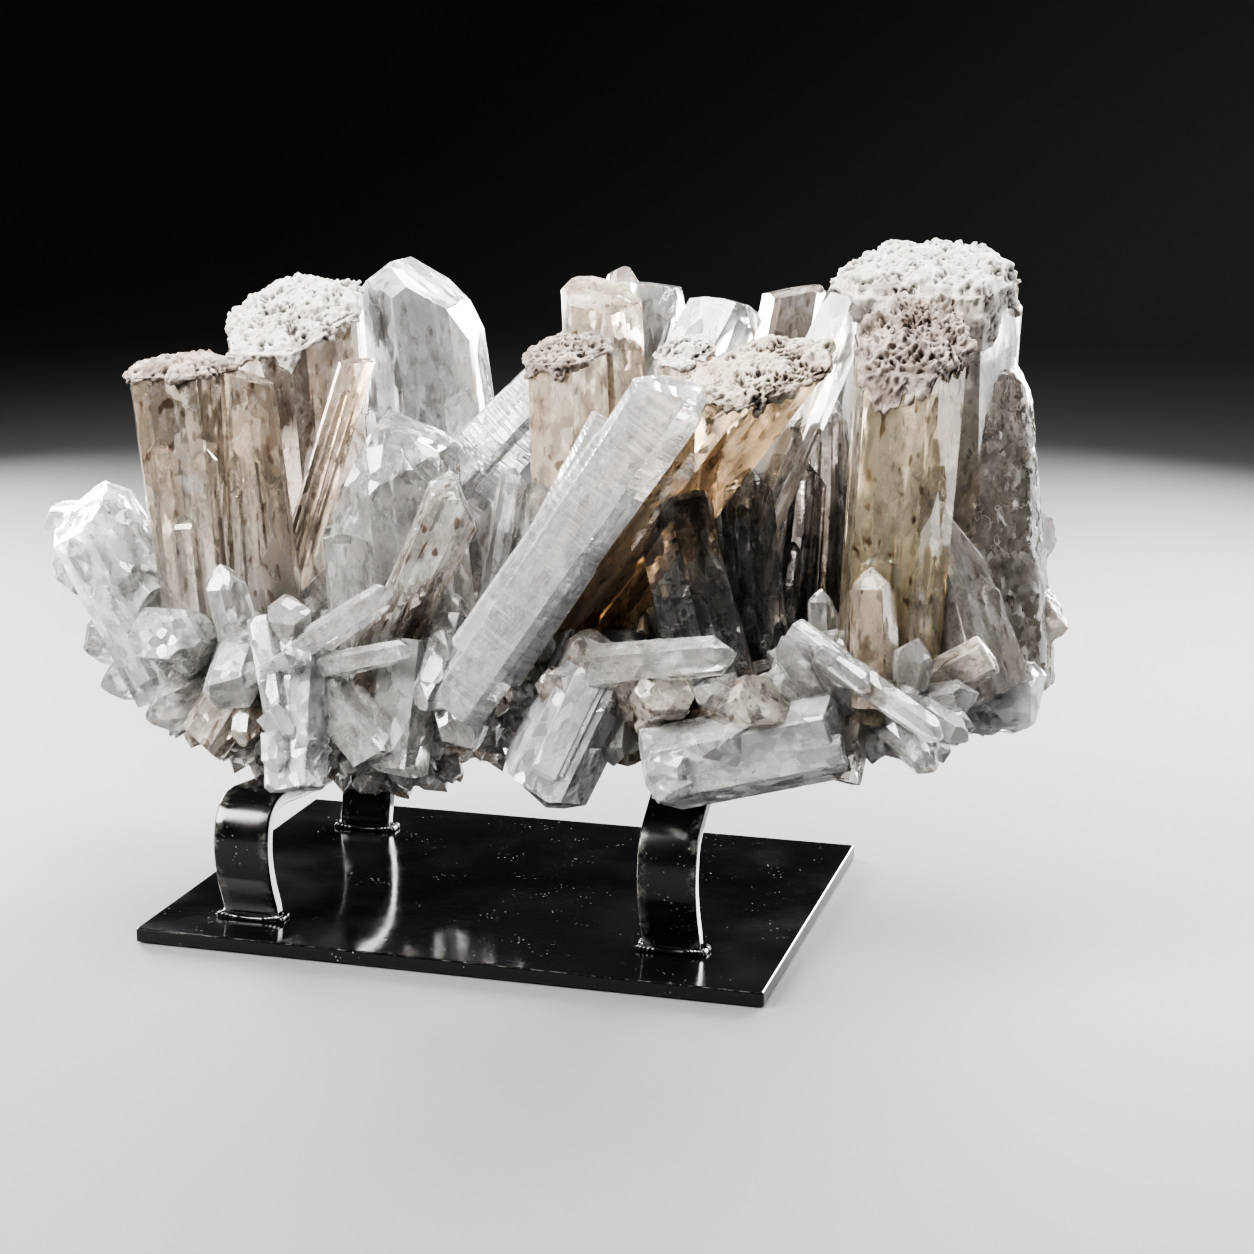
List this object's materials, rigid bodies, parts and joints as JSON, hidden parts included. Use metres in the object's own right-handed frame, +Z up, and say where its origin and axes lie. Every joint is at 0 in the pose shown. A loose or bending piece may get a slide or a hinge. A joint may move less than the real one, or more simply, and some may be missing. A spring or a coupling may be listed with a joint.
{
  "type": "smoky quartz cluster on a metal stand",
  "caption": "Cluster of large smoky and clear quartz crystals with pale porous crusts on broken tops, resting on a black stand of bent flat bar straps welded to a steel plate.",
  "frame": {"origin": "bottom centre of the bounding box, on the underside of the stand's plate", "axes": "+X runs along the plate to the right as the picture shows it, +Y to the back, +Z up"},
  "size_m": [0.491, 0.2072, 0.2994],
  "materials": {
    "smoky_quartz": "natural crystal faces, clear to smoky brown, frosted in places",
    "pale_crust": "porous matt mineral crust",
    "black_steel": "gloss black paint"
  },
  "bodies": {
    "root": {"base_plate": "black_steel", "left_strap": "black_steel", "right_strap": "black_steel", "weld_left_front": "black_steel", "weld_left_rear": "black_steel", "weld_right_front": "black_steel", "quartz_cluster": "smoky_quartz", "crust_capped_prism": "pale_crust", "crust_pitted_crystal": "pale_crust", "crust_tan_prism": "pale_crust", "crust_small_capped": "pale_crust", "crust_amber_capped": "pale_crust", "crust_amber_column": "pale_crust", "crust_right_back_slab": "pale_crust"}
  },
  "joints": []
}
